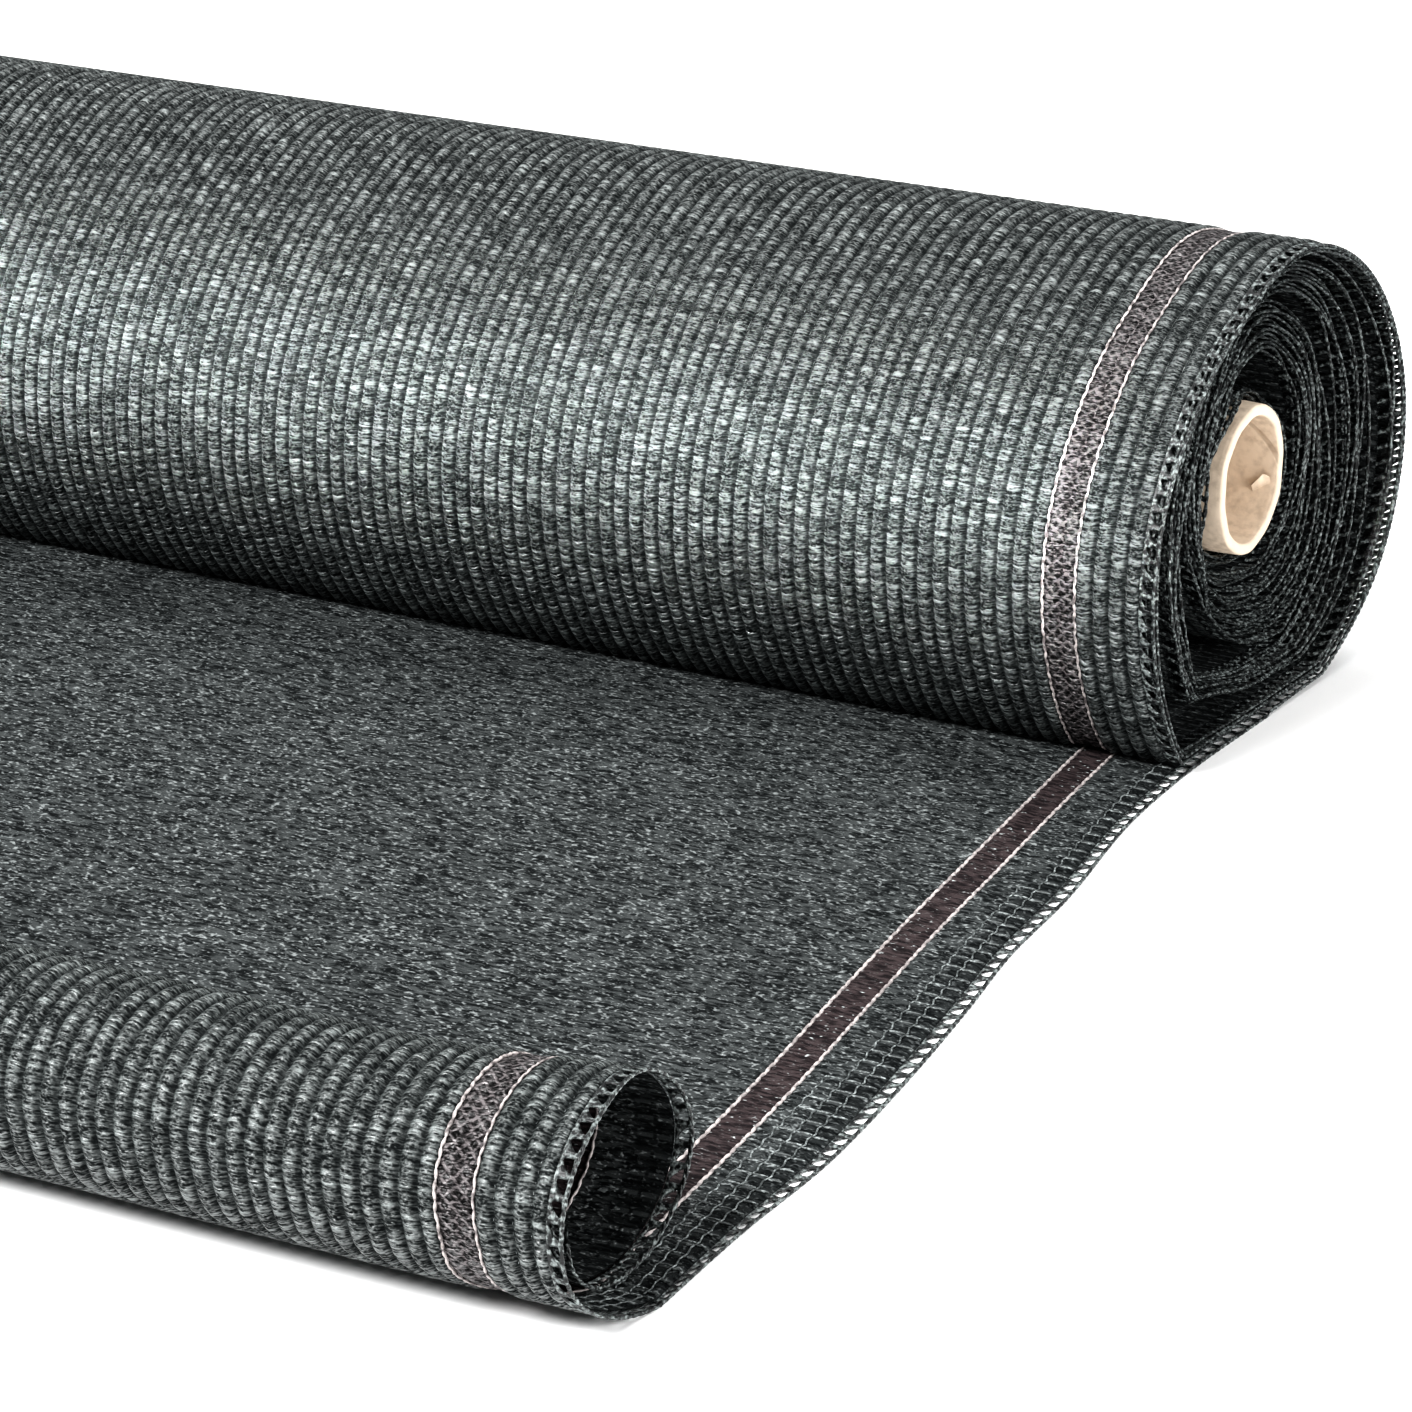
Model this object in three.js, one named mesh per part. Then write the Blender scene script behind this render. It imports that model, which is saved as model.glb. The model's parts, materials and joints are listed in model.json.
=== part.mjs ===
// Privacy screen netting: a wide knitted cloth wound loosely on a cardboard core, with one length
// drawn out in front of the roll and the free end curled back over itself.
// Millimetres, +Z up. The roll's axis runs along X, and the drawn-out length runs towards -Y.
import * as THREE from "three";
import { LoftGeometry } from "three/addons/geometries/LoftGeometry.js";

// The cloth and the core it is wound on.
const CLOTH_WIDTH = 1000;
const SHEET = 1.2;
const CORE_DIAMETER = 40;
const CORE_WALL = 3;
const CORE_CHAMFER = 0.5;
const CORE_SET_BACK = 7;
const GAP = 0.3;

// The wound roll. Angles go round the core's axis: 0 is the front (-Y), 90 the top, 180 the back.
const AXIS_HEIGHT = 63;
const ROLL_STEPS = 64;
const ROLL_BAYS = 8;
const CORE_STEPS = 48;

// How far the outermost wrap reaches from the core's axis. The cloth sags on its core: it is flat on
// top towards the front, and bellies out low at the front and at the back.
const OUTLINE = [
  { angle: 0, reach: 69 },
  { angle: 30, reach: 59.5 },
  { angle: 60, reach: 56.5 },
  { angle: 90, reach: 61.5 },
  { angle: 120, reach: 63.9 },
  { angle: 150, reach: 69.8 },
  { angle: 180, reach: 74.6 },
  { angle: 210, reach: 76 },
  { angle: 240, reach: 69.5 },
  { angle: 270, reach: 68 },
  { angle: 300, reach: 80.5 },
  { angle: 330, reach: 76.5 },
];

// The wraps lie in loose groups, and crescents stand open between them at the roll's ends. Each row
// is the edge of a group: its share of the way from the core to the outermost wrap, round the roll.
const WRAPS = {
  outerInside: { front: 0.93, high: 0.94, top: 0.92, rise: 0.93, back: 0.93, fall: 0.93, low: 0.91, toe: 0.9 },
  middleOutside: { front: 0.77, high: 0.92, top: 0.88, rise: 0.89, back: 0.9, fall: 0.91, low: 0.87, toe: 0.69 },
  middleInside: { front: 0.56, high: 0.63, top: 0.68, rise: 0.68, back: 0.7, fall: 0.8, low: 0.75, toe: 0.57 },
  innerOutside: { front: 0.4, high: 0.61, top: 0.64, rise: 0.59, back: 0.6, fall: 0.76, low: 0.6, toe: 0.26 },
  innerInside: { front: 0.14, high: 0.2, top: 0.25, rise: 0.34, back: 0.42, fall: 0.3, low: 0.12, toe: 0.1 },
  coreWraps: { front: 0.12, high: 0.15, top: 0.06, rise: 0.09, back: 0.27, fall: 0.26, low: 0.1, toe: 0.08 },
};

// The outermost wrap's edge leans out at the back of the roll, and the groups inside it are set back.
const EDGE_LEAN = { front: -4, high: -2, top: 0, rise: 3, back: 5, fall: 3, low: 0.5, toe: -0.5 };
const SET_BACK = { middle: 5, inner: 10, core: 15 };
const CRESCENTS = { outer: 26, middle: 34, inner: 24 };
const CRESCENT_RAMP = 0.12;

// The drawn-out length runs from under the roll to the axis of the curl at its end. The curl swings
// away from the roll towards the left, and opens a little at both of its ends.
const UNDER_ROLL_Y = 24;
const CURL = { y: -363, height: 21.6, reach: 27.5, swing: 0.03, flare: 0.07, flareRun: 60 };
const FLAT_STEPS = 20;
const EDGE_ROUND = 0.4;
const SHEET_BAYS = [0, 0.03, 0.06, 0.2, 0.4, 0.6, 0.8, 0.94, 0.97, 1];

// The curl's middle line round its axis, by how far the cloth has turned: half width and half height.
const CURL_TURNS = [
  { turned: 0, halfWidth: 26.9, halfHeight: 21 },
  { turned: 180, halfWidth: 26.9, halfHeight: 21 },
  { turned: 270, halfWidth: 26.5, halfHeight: 20.4 },
  { turned: 360, halfWidth: 21.5, halfHeight: 18.2 },
  { turned: 450, halfWidth: 16, halfHeight: 17 },
];
const CURL_END = 438;
const CURL_STEP = 14.6;

// The knitted edge wanders as the length is pulled askew: how far past the roll's end it lies.
const FLAT_DRIFT = [
  { y: 24, drift: 0.5 },
  { y: -52, drift: -0.8 },
  { y: -80, drift: 0.4 },
  { y: -140, drift: 9 },
  { y: -172, drift: 11.7 },
  { y: -205, drift: 17.2 },
  { y: -250, drift: 23.5 },
  { y: -290, drift: 27.3 },
  { y: -325, drift: 27.3 },
  { y: -363, drift: 30.5 },
];
const CURL_DRIFT = [
  { turned: 0, drift: 30.5 },
  { turned: 90, drift: 25.5 },
  { turned: 180, drift: 22.5 },
  { turned: 270, drift: 22 },
  { turned: 360, drift: 20 },
  { turned: 450, drift: 19 },
];

const cloth = new THREE.MeshStandardMaterial({ color: 0x34393b, roughness: 0.55, metalness: 0 });
const board = new THREE.MeshStandardMaterial({ color: 0xd8c3a8, roughness: 0.85, metalness: 0 });

const radians = THREE.MathUtils.degToRad;

// A smooth closed curve through values spread evenly round the roll.
function around(values, angle) {
  const count = values.length;
  const place = ((angle / 360) * count + count) % count;
  const first = Math.floor(place);
  const part = place - first;
  const near = [-1, 0, 1, 2].map((step) => values[(first + step + count) % count]);
  const [before, from, to, after] = near;
  const bend = 2 * before - 5 * from + 4 * to - after;
  const twist = 3 * (from - to) + after - before;
  return from + 0.5 * part * (to - before + part * (bend + part * twist));
}

// A smooth curve through table rows, read at a place along the named column.
function along(rows, column, place, value) {
  const sign = Math.sign(rows.at(-1)[column] - rows[0][column]);
  let next = rows.findIndex((row) => sign * (row[column] - place) > 0);
  if (next < 0) next = rows.length - 1;
  const last = Math.max(next - 1, 0);
  const span = rows[next][column] - rows[last][column];
  const part = THREE.MathUtils.clamp((place - rows[last][column]) / span, 0, 1);
  const eased = part * part * (3 - 2 * part);
  const blend = 0.5 * (part + eased);
  return THREE.MathUtils.lerp(rows[last][value], rows[next][value], blend);
}

// The outermost wrap's reach, cut level where the roll presses on the length that runs under it.
function reachAt(angle) {
  const free = around(OUTLINE.map((row) => row.reach), angle);
  const down = -Math.sin(radians(angle));
  const rest = AXIS_HEIGHT - SHEET - GAP;
  return down > 0 ? Math.min(free, rest / down) : free;
}

function groupEdge(wrap, angle) {
  const inside = CORE_DIAMETER / 2 + GAP;
  return inside + (reachAt(angle) - inside) * around(Object.values(WRAPS[wrap]), angle);
}

// How far the crescent between two groups goes in: it fades out where the groups close up.
function crescentDepth(outside, inside, deepest, angle) {
  const share = around(Object.values(WRAPS[outside]), angle) - around(Object.values(WRAPS[inside]), angle);
  return deepest * THREE.MathUtils.smoothstep(share, 0, CRESCENT_RAMP);
}

// One end of the roll at one angle, from the outermost wrap in to the bore: radius and set-back.
function endProfile(angle) {
  const lean = -around(Object.values(EDGE_LEAN), angle);
  const profile = [[reachAt(angle), lean]];
  const crescent = (outside, inside, deepest, before, after) => {
    const floor = before + crescentDepth(outside, inside, deepest, angle);
    const outer = groupEdge(outside, angle);
    const inner = Math.min(groupEdge(inside, angle), outer - 1);
    profile.push([outer, before], [outer - 0.2, floor], [inner + 0.2, Math.max(floor, after)], [inner, after]);
  };
  crescent("outerInside", "middleOutside", CRESCENTS.outer, lean + 0.5, SET_BACK.middle);
  crescent("middleInside", "innerOutside", CRESCENTS.middle, SET_BACK.middle + 1, SET_BACK.inner);
  crescent("innerInside", "coreWraps", CRESCENTS.inner, SET_BACK.inner + 1, SET_BACK.core);
  profile.push([CORE_DIAMETER / 2 + GAP, SET_BACK.core + 0.5]);
  return profile;
}

// The roll as one solid: rings over its outside, in across one end, back through the bore and out.
function woundRoll() {
  const angles = Array.from({ length: ROLL_STEPS }, (_, step) => (step * 360) / ROLL_STEPS);
  const ends = angles.map(endProfile);
  const ring = (place) => angles.map((angle, index) => {
    const [radius, x] = place(ends[index], angle);
    const turn = radians(angle);
    return new THREE.Vector3(x, -radius * Math.cos(turn), AXIS_HEIGHT + radius * Math.sin(turn));
  });
  const rings = [];
  for (let bay = 0; bay < ROLL_BAYS; bay += 1) {
    const share = bay / ROLL_BAYS;
    rings.push(ring((end) => [end[0][0], THREE.MathUtils.lerp(end[0][1] - CLOTH_WIDTH, -end[0][1], share)]));
  }
  const depth = ends[0].length;
  for (let row = 0; row < depth; row += 1) rings.push(ring((end) => [end[row][0], -end[row][1]]));
  for (let row = depth - 1; row > 0; row -= 1) rings.push(ring((end) => [end[row][0], end[row][1] - CLOTH_WIDTH]));
  rings.push(rings[0].map((point) => point.clone()));
  return new LoftGeometry(rings.reverse());
}

// The drawn-out length's middle line at one place across the roll, with how far its edge drifts.
function sheetLine(x) {
  const axisY = CURL.y + CURL.swing * x;
  const fromEnd = Math.min(-x, x + CLOTH_WIDTH);
  const open = 1 + CURL.flare * (1 - THREE.MathUtils.smoothstep(fromEnd, 0, CURL.flareRun));
  const line = [];
  for (let step = 0; step < FLAT_STEPS; step += 1) {
    const share = step / FLAT_STEPS;
    const y = THREE.MathUtils.lerp(UNDER_ROLL_Y, axisY, share);
    const rightY = THREE.MathUtils.lerp(UNDER_ROLL_Y, CURL.y, share);
    line.push({ y, z: SHEET / 2, drift: along(FLAT_DRIFT, "y", rightY, "drift") });
  }
  for (let turned = 0; turned <= CURL_END; turned += CURL_STEP) {
    const turn = radians(turned);
    const across = CURL.reach - along(CURL_TURNS, "turned", turned, "halfWidth") * Math.sin(turn);
    const up = CURL.height - along(CURL_TURNS, "turned", turned, "halfHeight") * Math.cos(turn);
    const drift = along(CURL_DRIFT, "turned", turned, "drift");
    line.push({ y: axisY - CURL.reach + open * across, z: open * (up - SHEET / 2) + SHEET / 2, drift });
  }
  return line;
}

// The closed outline of the sheet across one place: out along its upper face and back below. At the
// knitted edges it closes on its middle line.
function sheetSection(share, thickness = SHEET, past = 0) {
  const x = (share - 1) * CLOTH_WIDTH;
  const line = sheetLine(x);
  const faces = [1, -1].map((side) => line.map((point, index) => {
    const before = line[Math.max(index - 1, 0)];
    const after = line[Math.min(index + 1, line.length - 1)];
    const length = Math.hypot(after.y - before.y, after.z - before.z);
    const normal = { y: (after.z - before.z) / length, z: -(after.y - before.y) / length };
    const half = (side * thickness) / 2;
    return new THREE.Vector3(x + point.drift + past, point.y + half * normal.y, point.z + half * normal.z);
  }));
  return [...faces[0], ...faces[1].reverse()];
}

function looseEnd() {
  const between = SHEET_BAYS.map((share) => sheetSection(share));
  return new LoftGeometry([sheetSection(0, 0, -EDGE_ROUND), ...between, sheetSection(1, 0, EDGE_ROUND)]);
}

function coreTube() {
  const outer = CORE_DIAMETER / 2;
  const inner = outer - CORE_WALL;
  const half = CLOTH_WIDTH / 2 - CORE_SET_BACK;
  const profile = [
    [inner, -half],
    [outer - CORE_CHAMFER, -half],
    [outer, CORE_CHAMFER - half],
    [outer, half - CORE_CHAMFER],
    [outer - CORE_CHAMFER, half],
    [inner, half],
    [inner, -half],
  ].map(([radius, height]) => new THREE.Vector2(radius, height));
  return new THREE.LatheGeometry(profile, CORE_STEPS);
}

function part(name, geometry, material) {
  const mesh = new THREE.Mesh(geometry, material);
  mesh.name = name;
  return mesh;
}

const core = part("core_tube", coreTube(), board);
core.rotation.z = -Math.PI / 2;
core.position.set(-CLOTH_WIDTH / 2, 0, AXIS_HEIGHT);

// The object stands with the middle of its footprint at the origin.
const placed = new THREE.Group();
placed.add(core, part("wound_roll", woundRoll(), cloth), part("loose_end", looseEnd(), cloth));
const box = new THREE.Box3().setFromObject(placed, true);
placed.position.set(-(box.min.x + box.max.x) / 2, -(box.min.y + box.max.y) / 2, -box.min.z);

const screen = new THREE.Group();
screen.add(placed);

export default screen;
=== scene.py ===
import json
import math

import bpy
import numpy as np
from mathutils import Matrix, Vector

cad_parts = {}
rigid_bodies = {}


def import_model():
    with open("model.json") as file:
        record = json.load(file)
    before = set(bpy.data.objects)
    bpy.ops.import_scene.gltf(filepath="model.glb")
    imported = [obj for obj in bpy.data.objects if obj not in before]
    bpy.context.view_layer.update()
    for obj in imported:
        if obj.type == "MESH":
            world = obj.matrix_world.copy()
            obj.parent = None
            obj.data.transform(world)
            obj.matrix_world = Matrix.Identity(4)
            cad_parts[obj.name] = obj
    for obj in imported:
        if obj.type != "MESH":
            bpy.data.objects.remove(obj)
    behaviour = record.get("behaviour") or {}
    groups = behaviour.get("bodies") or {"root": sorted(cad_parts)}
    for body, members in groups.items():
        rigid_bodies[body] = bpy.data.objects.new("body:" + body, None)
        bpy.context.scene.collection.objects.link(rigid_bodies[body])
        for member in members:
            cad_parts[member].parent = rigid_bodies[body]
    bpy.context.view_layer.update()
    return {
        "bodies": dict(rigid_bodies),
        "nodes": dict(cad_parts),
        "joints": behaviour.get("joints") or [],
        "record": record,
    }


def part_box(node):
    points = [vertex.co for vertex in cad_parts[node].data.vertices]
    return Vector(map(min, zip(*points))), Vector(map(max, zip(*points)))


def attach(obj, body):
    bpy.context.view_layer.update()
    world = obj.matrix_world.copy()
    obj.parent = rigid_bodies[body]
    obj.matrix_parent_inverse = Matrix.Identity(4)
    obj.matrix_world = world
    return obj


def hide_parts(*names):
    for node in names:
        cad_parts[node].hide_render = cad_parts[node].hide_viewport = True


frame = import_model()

MM = 0.001

# The stage. A pale seamless floor under a dim white sky and four softboxes: one in front of the roll
# and above it, a long narrow strip that draws the bright band along the roll, a small one that looks
# at the roll's right end, and a wide one over the floor behind.
CORE_SET_BACK = 7 * MM
core_low, core_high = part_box("core_tube")
ROLL_END = core_high.x + CORE_SET_BACK
AXIS_Y = (core_low.y + core_high.y) / 2
AXIS_Z = (core_low.z + core_high.z) / 2
roll_end = Vector((ROLL_END, AXIS_Y, 0))

FLOOR_SIZE = 12
FLOOR_COLOUR = (0.96, 0.96, 0.96, 1)
FLOOR_ROUGHNESS = 0.9
floor_mesh = bpy.data.meshes.new("floor")
half_floor = FLOOR_SIZE / 2
corners = [(-half_floor, -half_floor, 0), (half_floor, -half_floor, 0), (half_floor, half_floor, 0),
           (-half_floor, half_floor, 0)]
floor_mesh.from_pydata(corners, [], [(0, 1, 2, 3)])
floor = bpy.data.objects.new("floor", floor_mesh)
bpy.context.scene.collection.objects.link(floor)
floor_paint = bpy.data.materials.new("pale_floor")
floor_paint.use_nodes = True
floor_shader = floor_paint.node_tree.nodes["Principled BSDF"]
floor_shader.inputs["Base Color"].default_value = FLOOR_COLOUR
floor_shader.inputs["Roughness"].default_value = FLOOR_ROUGHNESS
floor_mesh.materials.append(floor_paint)

SKY_COLOUR = (1, 1, 1, 1)
SKY_STRENGTH = 0.16
sky = bpy.data.worlds.new("pale_sky")
sky.use_nodes = True
sky_glow = sky.node_tree.nodes["Background"]
sky_glow.inputs["Color"].default_value = SKY_COLOUR
sky_glow.inputs["Strength"].default_value = SKY_STRENGTH
bpy.context.scene.world = sky
bpy.context.scene.view_settings.view_transform = "Standard"
bpy.context.scene.view_settings.look = "High Contrast"

# A softbox's name, its place and its aim from the middle of the stage, its width and height, its power
# in watts, and the degrees that its light spreads over.
STAGE_MIDDLE = Vector((ROLL_END - 0.3, AXIS_Y - 0.1, 0.05))
SOFTBOXES = (
    ("front_softbox", (-0.55, -1.5, 1.55), (0, 0, 0), (1.2, 0.9), 80, 180),
    ("strip_softbox", (-0.34, -1.5, 0.58), (-0.34, 0.1, 0), (1.25, 0.04), 0.7, 3),
    ("end_softbox", (1.9, -0.1, 0.55), (0.3, 0.1, -0.05), (0.8, 0.6), 28, 180),
    ("top_softbox", (-0.1, 1.2, 2.3), (-0.1, 0.6, 0), (3.4, 2.0), 46, 180),
)
for name, place, aim, size, power, spread in SOFTBOXES:
    light = bpy.data.lights.new(name, "AREA")
    light.shape = "RECTANGLE"
    light.size, light.size_y = size
    light.energy = power
    light.spread = math.radians(spread)
    lamp = bpy.data.objects.new(name, light)
    lamp.location = STAGE_MIDDLE + Vector(place)
    lamp.rotation_euler = (Vector(aim) - Vector(place)).to_track_quat("-Z", "Y").to_euler()
    bpy.context.scene.collection.objects.link(lamp)

# The camera stands low in front of the roll's right end and looks along the drawn-out length. Its film
# width and its lens are in millimetres.
CAMERA_TURN = math.radians(29.793)
CAMERA_DIP = math.radians(20.533)
CAMERA_PLACE = Vector((461.692 * MM, -1099.564 * MM, 446.132 * MM))
FILM_WIDTH = 36
LENS = 124.72
NEAREST, FARTHEST = 0.05, 30
camera_data = bpy.data.cameras.new("camera")
camera_data.sensor_width = FILM_WIDTH
camera_data.lens = LENS
camera_data.clip_start, camera_data.clip_end = NEAREST, FARTHEST
camera = bpy.data.objects.new("camera", camera_data)
camera.location = roll_end + CAMERA_PLACE
camera.rotation_euler = (math.pi / 2 - CAMERA_DIP, 0, CAMERA_TURN)
bpy.context.scene.collection.objects.link(camera)
bpy.context.scene.camera = camera

# The netting's two faces. It is a warp knit of flat dark grey plastic yarn: chains of stitches stand
# out as ribs on one face, the yarn laid in between them makes the other face smooth and close. Along
# the right-hand edge a band two wales wide is knitted open, between two light marker threads.
CLOTH_WIDTH = 1000 * MM
WALES = 226
WALE = CLOTH_WIDTH / WALES
COURSE = 2.15 * MM
DRAWN_COURSE = 2.78 * MM
SHEET = 1.2 * MM
GAP = 0.3 * MM
THREAD_WALES = (5, 7)

# Courses count from the foot of the curl, and are below 0 towards the roll.
LADDER_WALES = (2.4, 3.4)
LADDER_COURSES = (-118, -35)
# The stretch next to the roll where the back is painted darker: slack pits and painted shade from the roll.
SHADED_SLACK_COURSES = (-128, -100)

YARN_DARK = (0.0035, 0.0045, 0.005, 1)
# The ribbed face's light stitch colour: light yarn, and painted glints off the glossy tape.
YARN_LIGHT_AND_GLINT = (0.20, 0.222, 0.218, 1)
BAND_DARK = (0.004, 0.004, 0.004, 1)
BAND_YARN = (0.165, 0.15, 0.153, 1)
BACK_DARK = (0.004, 0.005, 0.0055, 1)
# The smooth back's light dashes: light yarn, and painted glints off the glossy tape.
BACK_LIGHT_AND_GLINT = (0.52, 0.56, 0.56, 1)
BAND_BACK = (0.058, 0.045, 0.046, 1)
BAND_BACK_DARK = (0.016, 0.013, 0.014, 1)
DULL_GLOSS, TAPE_GLOSS = 0.05, 1.0
RIBBED_BUMP = 0.4 * MM
SMOOTH_BUMP = 0.25 * MM


class Pattern:
    """Adds nodes to a material one by one, from plain sums of sockets and numbers."""

    def __init__(self, name):
        self.material = bpy.data.materials.new(name)
        self.material.use_nodes = True
        self.tree = self.material.node_tree
        self.shader = self.tree.nodes["Principled BSDF"]

    def node(self, kind, **settings):
        made = self.tree.nodes.new(kind)
        for name, value in settings.items():
            setattr(made, name, value)
        return made

    def feed(self, socket, value):
        if isinstance(value, bpy.types.NodeSocket):
            self.tree.links.new(value, socket)
        else:
            socket.default_value = value

    def sum(self, operation, *values):
        """One of the Math node's operations."""
        made = self.node("ShaderNodeMath", operation=operation)
        for socket, value in zip(made.inputs, values):
            self.feed(socket, value)
        return made.outputs[0]

    def times(self, first, *others):
        for other in others:
            first = self.sum("MULTIPLY", first, other)
        return first

    def scaled(self, value, factor, base):
        """The value times a factor, plus a base."""
        return self.sum("MULTIPLY_ADD", value, factor, base)

    def ramp(self, value, low, high, to_low=0.0, to_high=1.0):
        """A smooth step from one number at the low value to another at the high value."""
        made = self.node("ShaderNodeMapRange", interpolation_type="SMOOTHSTEP")
        for socket, number in zip(made.inputs, (value, low, high, to_low, to_high)):
            self.feed(socket, number)
        return made.outputs[0]

    def attribute(self, name):
        return self.node("ShaderNodeAttribute", attribute_name=name).outputs["Fac"]

    def point(self, across, along, seed):
        place = self.node("ShaderNodeCombineXYZ")
        for socket, value in zip(place.inputs, (across, along, seed)):
            self.feed(socket, value)
        return place.outputs[0]

    def noise(self, across, along, seed, detail=1.0):
        made = self.node("ShaderNodeTexNoise")
        self.feed(made.inputs["Vector"], self.point(across, along, seed))
        self.feed(made.inputs["Scale"], 1.0)
        self.feed(made.inputs["Detail"], detail)
        return made.outputs["Fac"]

    def speckle(self, scale, detail=2.0):
        """Noise in the part's own space, for what has no wales and courses."""
        made = self.node("ShaderNodeTexNoise")
        self.feed(made.inputs["Vector"], self.node("ShaderNodeTexCoord").outputs["Object"])
        self.feed(made.inputs["Scale"], scale)
        self.feed(made.inputs["Detail"], detail)
        return made.outputs["Fac"]

    def chance(self, across, along, seed):
        made = self.node("ShaderNodeTexWhiteNoise", noise_dimensions="3D")
        self.feed(made.inputs["Vector"], self.point(across, along, seed))
        return made.outputs["Value"]

    def off_middle(self, value):
        """How far a measure lies from the middle of its cell, from 0 to a half."""
        return self.sum("ABSOLUTE", self.sum("SUBTRACT", self.sum("FRACT", value), 0.5))

    def blend(self, share, low, high):
        """One colour at a share of 0, the other at 1."""
        made = self.node("ShaderNodeMix", data_type="RGBA")
        self.feed(made.inputs["Factor"], share)
        self.feed(made.inputs[6], low)
        self.feed(made.inputs[7], high)
        return made.outputs[2]

    def between(self, value, low, high, soft):
        """1 between two values and 0 outside them, with soft borders."""
        rise = self.ramp(value, low - soft, low + soft)
        return self.times(rise, self.ramp(value, high - soft, high + soft, 1.0, 0.0))

    def relief(self, height, distance):
        made = self.node("ShaderNodeBump")
        self.feed(made.inputs["Height"], height)
        self.feed(made.inputs["Distance"], distance)
        self.feed(made.inputs["Strength"], 1.0)
        self.feed(self.shader.inputs["Normal"], made.outputs[0])


def ribbed_face():
    """Chains of loops, one chain a wale and about one loop a course. Each loop has its own random tone, and
    its light colour is partly painted glints off the tape. The furrows between the chains are painted
    nearly black: dark gaps in the knit and painted shade."""
    knit = Pattern("ribbed_knit")
    wale, course = knit.attribute("across"), knit.attribute("along")

    # Where each loop lies: out of step with the chain beside it, and a little askew.
    chain = knit.sum("FLOOR", wale)
    drift = knit.noise(knit.times(wale, 0.31), knit.times(course, 0.23), 2.2)
    uneven = knit.noise(knit.times(wale, 1.7), knit.times(course, 0.9), 6.1)
    step = knit.scaled(knit.chance(chain, 0.5, 4.5), 0.6, course)
    step = knit.scaled(drift, 0.9, step)
    step = knit.scaled(uneven, 0.5, step)
    shade = knit.chance(chain, knit.sum("FLOOR", step), 1.5)
    beside = knit.scaled(uneven, 0.24, knit.sum("SUBTRACT", knit.off_middle(wale), 0.12))
    body = knit.ramp(beside, 0.22, 0.46, 1.0, 0.0)
    loop = knit.ramp(knit.off_middle(step), 0.2, 0.46, 1.0, 0.0)

    # The folds of the tape across each loop, its fine grain, and patches of paler and darker netting.
    lines = knit.noise(knit.times(wale, 1.9), knit.times(course, 4.6), 7.7, 1.5)
    lines = knit.ramp(lines, 0.38, 0.66)
    grain = knit.noise(knit.times(wale, 5.5), knit.times(course, 4.2), 1.3)
    grain = knit.ramp(grain, 0.40, 0.70)
    patch = knit.noise(knit.times(wale, 0.5), knit.times(course, 0.33), 9.1)
    patch = knit.ramp(patch, 0.25, 0.75, 0.55, 1.25)
    stitch = knit.scaled(knit.sum("POWER", shade, 1.5), 0.62, 0.24)
    stitch = knit.times(stitch, body, knit.scaled(loop, 0.6, 0.4))
    stitch = knit.times(stitch, knit.sum("ADD", lines, 0.15), patch)
    # The furrows keep only faint specks of laid yarn; their near-black colour is partly painted shade.
    furrow_yarn_and_shade = knit.times(knit.sum("SUBTRACT", 1.0, body), knit.scaled(lines, 0.15, 0.01))
    lit = knit.sum("ADD", stitch, furrow_yarn_and_shade)
    lit = knit.scaled(knit.times(grain, knit.scaled(body, 0.82, 0.18)), 0.3, lit)

    # The open band between the marker threads: yarns that cross in a lattice.
    in_band = knit.between(wale, THREAD_WALES[0], THREAD_WALES[1], 0.04)
    slant = knit.times(course, 0.75)
    one_way = knit.off_middle(knit.scaled(wale, 1.5, knit.sum("ADD", slant, uneven)))
    other_way = knit.off_middle(knit.sum("SUBTRACT", knit.times(wale, 1.5), slant))
    lattice = knit.ramp(knit.sum("MINIMUM", one_way, other_way), 0.10, 0.24, 1.0, 0.0)
    band_lit = knit.times(knit.scaled(lattice, 0.9, 0.05), patch)
    band_lit = knit.times(band_lit, knit.scaled(lines, 1.3, 0.12))
    band_lit = knit.scaled(knit.times(grain, knit.scaled(lattice, 0.6, 0.4)), 0.4, band_lit)

    # The light stitches are partly painted glints.
    face = knit.blend(lit, YARN_DARK, YARN_LIGHT_AND_GLINT)
    face = knit.blend(in_band, face, knit.blend(band_lit, BAND_DARK, BAND_YARN))
    gloss = knit.ramp(lit, 0.05, 0.5, DULL_GLOSS, TAPE_GLOSS)
    knit.feed(knit.shader.inputs["Base Color"], face)
    knit.feed(knit.shader.inputs["Roughness"], knit.ramp(lit, 0.0, 0.35, 0.7, 0.4))
    knit.feed(knit.shader.inputs["Specular IOR Level"], gloss)
    height = knit.times(body, loop)
    height = knit.scaled(lines, 0.35, height)
    height = knit.scaled(grain, 0.25, height)
    height = knit.scaled(knit.times(in_band, lattice), 0.8, height)
    knit.relief(height, RIBBED_BUMP)
    return knit.material


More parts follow.
